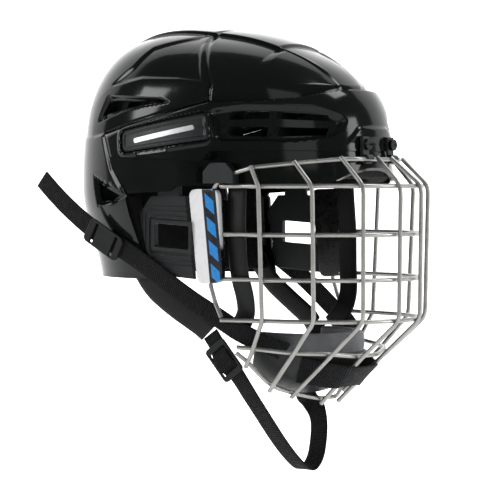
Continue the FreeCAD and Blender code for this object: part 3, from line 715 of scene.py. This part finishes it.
wall = combine(duplicate(outer), "DIFFERENCE", under, keep=True)
front = combine(duplicate(wall), "INTERSECT", prism(SEAM + BROW_EDGE))
front = combine(front, "INTERSECT", prism(LEDGE + [(90, 170), (-160, 170)]))
floor_ring = combine(duplicate(outer), "DIFFERENCE", cheek_under, keep=True)
floor_ring = combine(floor_ring, "INTERSECT", prism(SEAM + BROW_EDGE))
floor_ring = combine(floor_ring, "INTERSECT", prism(LEDGE + [(y, z + 2.5) for y, z in reversed(LEDGE)]))
front = combine(front, "UNION", floor_ring)
lower = solid_from_rings("lower", cheek_points(0, COLUMNS, 40))
lower = combine(lower, "DIFFERENCE", cheek_under)
lower = combine(lower, "INTERSECT", prism(SEAM + BROW_EDGE))
lower = combine(lower, "INTERSECT", prism([(y, z + 2.0) for y, z in LEDGE] + [(90, -80), (-160, -80)]))
front = combine(front, "UNION", lower)
for slot_outline in SIDE_SLOTS:
    front = combine(front, "DIFFERENCE", prism(slot_outline))
rear = combine(wall, "INTERSECT", prism([(y + 0.8, z + 0.8) for y, z in SEAM] + REAR_HEM))
for slot_outline in REAR_SLOTS + LOW_SLOTS:
    rear = combine(rear, "DIFFERENCE", prism(slot_outline))
for obj in (outer, under):
    bpy.data.objects.remove(obj)

for obj, name, node, body in ((front, "front_shell_moulded", "front_shell", "shell"),
                              (rear, "rear_shell_moulded", "rear_shell", "rear_shell")):
    obj.name = name
    obj.data.shade_smooth()
    obj.data.set_sharp_from_angle(angle=math.radians(34))
    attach(obj, body)
    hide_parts(node)
    paint(obj, "shell_gloss")

# ---- adjustment levers, each with a plain inlay strip --------------------------------
INLAY = [(33, 38.2), (-22, 48.2), (-24, 44.6), (32, 34.4)]
lever_plate = combine(solid_from_rings("plate", *dome_points(0.25, COLUMNS, ROWS, lever_relief)),
                      "DIFFERENCE", solid_from_rings("inside", *dome_points(2.45, 240, 90)))
inlay_layer = combine(solid_from_rings("skin", *dome_points(0.95, 400, 150)), "DIFFERENCE",
                      solid_from_rings("inside", *dome_points(1.5, 240, 90)))
for side_name, low, high in (("right", -140, -20), ("left", 20, 140)):
    plate = combine(duplicate(lever_plate), "INTERSECT", prism(rounded(LEVER, 5), low, high))
    inlay = combine(duplicate(inlay_layer), "INTERSECT", prism(rounded(INLAY, 1.6), low, high))
    for obj, name, material_slot in ((plate, "lever_plate_", "lever_plastic"),
                                     (inlay, "lever_inlay_", "plate_plastic")):
        obj.name = name + side_name
        obj.data.shade_smooth()
        obj.data.set_sharp_from_angle(angle=math.radians(34))
        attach(obj, "lever_" + side_name)
        paint(obj, material_slot)
    inlay.data.materials[0] = MATERIALS["inlay"]
    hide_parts("adjust_lever_" + side_name)
for obj in (lever_plate, inlay_layer):
    bpy.data.objects.remove(obj)


# ---- moulded, padded and lined pieces --------------------------------------------------
SIDE_PLATE = [(-13.6, -1.5), (-42.0, -0.8), (-45.8, -73), (-22.3, -75)]
EAR_WINDOW = [(-15, -30), (18, -28), (18, -46), (-15, -48)]
fine = 1.0


def grown(outline, amount):
    cy, cz = sum(y for y, z in outline) / len(outline), sum(z for y, z in outline) / len(outline)
    return [(y + math.copysign(amount, y - cy), z + math.copysign(amount, z - cz)) for y, z in outline]


def finished(obj, name, body, material_slot):
    obj.name = name
    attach(obj, body)
    paint(obj, material_slot)
    return obj


for side_name, flip in (("right", -1), ("left", 1)):
    low, high = sorted((flip * 81.2, flip * 87.0))
    plate = round_off(prism(rounded(SIDE_PLATE, 7), low, high), 0.45 * fine, 4)
    finished(plate, "side_plate_moulded_" + side_name, "cage", "plate_plastic")
    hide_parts("side_plate_" + side_name)
    for number, reach in enumerate((5.5, 9.5, 13.0)):
        low, high = sorted((flip * 86.5, flip * (88.9 - 0.2 * number)))
        ridge = combine(prism(rounded(grown(EAR_WINDOW, reach + 1.3), 5), low, high), "DIFFERENCE",
                        prism(rounded(grown(EAR_WINDOW, reach), 5), low - 1, high + 1))
        ear_outline = [(-11.6, -7.5), (22.5, -7.5), (33.6, -21), (22.4, -67), (-19.6, -70)]
        ridge = combine(ridge, "INTERSECT", prism(ear_outline, low - 1, high + 1))
        ridge_name = "ear_guard_ridge_%d_%s" % (number + 1, side_name)
        finished(round_off(ridge, 0.3 * fine, 2), ridge_name, "shell", "ear_plastic")
for name in both("corner_bumper") + both("strap_hook"):
    material_slot = "bumper_plastic" if name.startswith("corner") else "buckle_plastic"
    softened(name, name + "_moulded", 0.45 * fine, 4, "cage", material_slot)
softened("strap_slider", "strap_slider_moulded", 0.4 * fine, 3, "slider", "buckle_plastic")
SLIDER_AT = Vector((-71.3, -36.6, -134))
SLIDER_ALONG = Vector((0.1305, -0.5967, -0.7918))
SLIDER_OUT = SLIDER_ALONG.cross(Vector((0, -0.7987, 0.6018))).normalized()
SLIDER_OUT *= -1 if SLIDER_OUT.x > 0 else 1
wrap_route = [tuple(SLIDER_AT + SLIDER_ALONG * s + SLIDER_OUT * n)
              for s, n in ((-11, -2.4), (-8.5, -2.2), (-4, 2.2), (0, 2.4),
                           (4, 2.2), (8.5, -2.2), (11, -2.4))]
wrap = flat_strap("strap_slider_webbing", smooth_line(wrap_route), flat_to_side, 16, 1.5)
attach(wrap, "slider")
paint(wrap, "webbing")
for name in both("cage_clip"):
    softened(name, name + "_moulded", 0.35 * fine, 3, "shell", "bumper_plastic")
for name in both("ear_guard"):
    softened(name, name + "_moulded", 0.55 * fine, 3, "shell", "ear_plastic")
for name in ["front_liner"] + both("side_liner"):
    softened(name, name + "_foam", 1.4 * fine, 6, "shell", "foam")
softened("rear_liner", "rear_liner_foam", 1.4 * fine, 6, "rear_shell", "foam")
PAD_BODIES = {"forehead_pad": "shell", "temple_pad_right": "shell", "temple_pad_left": "shell",
              "crown_pad": "rear_shell", "occipital_pad": "rear_shell"}
for name, body in PAD_BODIES.items():
    softened(name, name + "_covered", 1.2 * fine, 12, body, "comfort_foam", 0.3)
softened("chin_cup_shell", "chin_cup_moulded", 0.7 * fine, 5, "cage", "cup_plastic")
softened("chin_cup_liner", "chin_cup_leather", 0.8 * fine, 14, "cage", "cup_leather", 0.5)
band_route = [(-41, -86, -141), (-24, -107.5, -147), (-12, -115.5, -147)]
band_line = smooth_line(band_route + list(reversed(mirrored(band_route))))
cup_band = flat_strap("chin_cup_band_webbing", band_line, lambda t: Vector((0, 0.726, -0.686)), 24, 1.5)
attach(cup_band, "cage")
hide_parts("chin_cup_band")
paint(cup_band, "webbing")


# ---- stage and light --------------------------------------------------------------
def backdrop():
    """A pale floor that curves up into a wall behind the object; it glows with painted light, dimmer near the
    camera and brighter towards the wall.
    """
    away = Vector((0.809, 0.588, 0)).normalized()
    across = Vector((away.y, -away.x, 0))
    low = -0.262
    path = [(-3.2, low), (0.7, low)]
    path += [(0.7 + 0.9 * math.sin(a), low + 0.9 * (1 - math.cos(a)))
             for a in np.linspace(0, math.pi / 2, 24)[1:]]
    path += [(1.6, 3.4)]
    rows = []
    for reach, z in path:
        rows.append([tuple(away * reach + across * s + Vector((0, 0, z))) for s in (-4.5, 4.5)])
    points = [p for row in rows for p in row]
    faces = [(2 * i, 2 * i + 1, 2 * i + 3, 2 * i + 2) for i in range(len(rows) - 1)]
    data = bpy.data.meshes.new("floor")
    data.from_pydata(points, [], faces)
    data.shade_smooth()
    obj = linked("floor", data)
    s = Surface("studio_paper_painted_glow")
    s.colour(s.mix(s.noise(6, 3), (0.86, 0.86, 0.86, 1), (0.9, 0.9, 0.9, 1)))
    s.roughness(s.noise(40, 3), 0.85, 0.95)
    s.bump(s.noise(300, 3), 0.0001, 0.2)
    # Painted light: the paper glows, dimmer near the camera and brighter towards the wall.
    s.shader.inputs["Emission Color"].default_value = (1, 1, 1, 1)
    depth = s.maths("ADD", s.maths("MULTIPLY", s.axis("X"), 0.809), s.maths("MULTIPLY", s.axis("Y"), 0.588))
    s.join(s.scaled(depth, 0.72, 1.25, 0.1, 1.5), s.shader.inputs["Emission Strength"])
    data.materials.append(s.material)


def soft_light(name, place, aim, size, power, tone=(1, 1, 1)):
    data = bpy.data.lights.new(name, "AREA")
    data.shape = "RECTANGLE"
    data.size, data.size_y = size
    data.energy = power
    data.color = tone
    obj = linked(name, data)
    obj.location = place
    obj.rotation_euler = (Vector(aim) - Vector(place)).to_track_quat("-Z", "Y").to_euler()


backdrop()
soft_light("side_box", (-1.15, 0.95, 0.55), (0, 0, 0.03), (0.4, 0.55), 9)
soft_light("brow_box", (0.5, -1.5, 0.32), (0, 0, 0.03), (0.45, 0.6), 9)
soft_light("crown_box", (0.4, -0.75, 1.25), (0, 0, 0), (0.5, 0.5), 9)
soft_light("front_fill", (-1.3, -1.5, 0.6), (0, 0, -0.05), (1.0, 0.8), 4)
scene.view_settings.view_transform = "Standard"
world = bpy.data.worlds.new("studio")
scene.world = world
world.use_nodes = True
world.node_tree.nodes["Background"].inputs["Color"].default_value = (1, 1, 1, 1)
world.node_tree.nodes["Background"].inputs["Strength"].default_value = 0.16
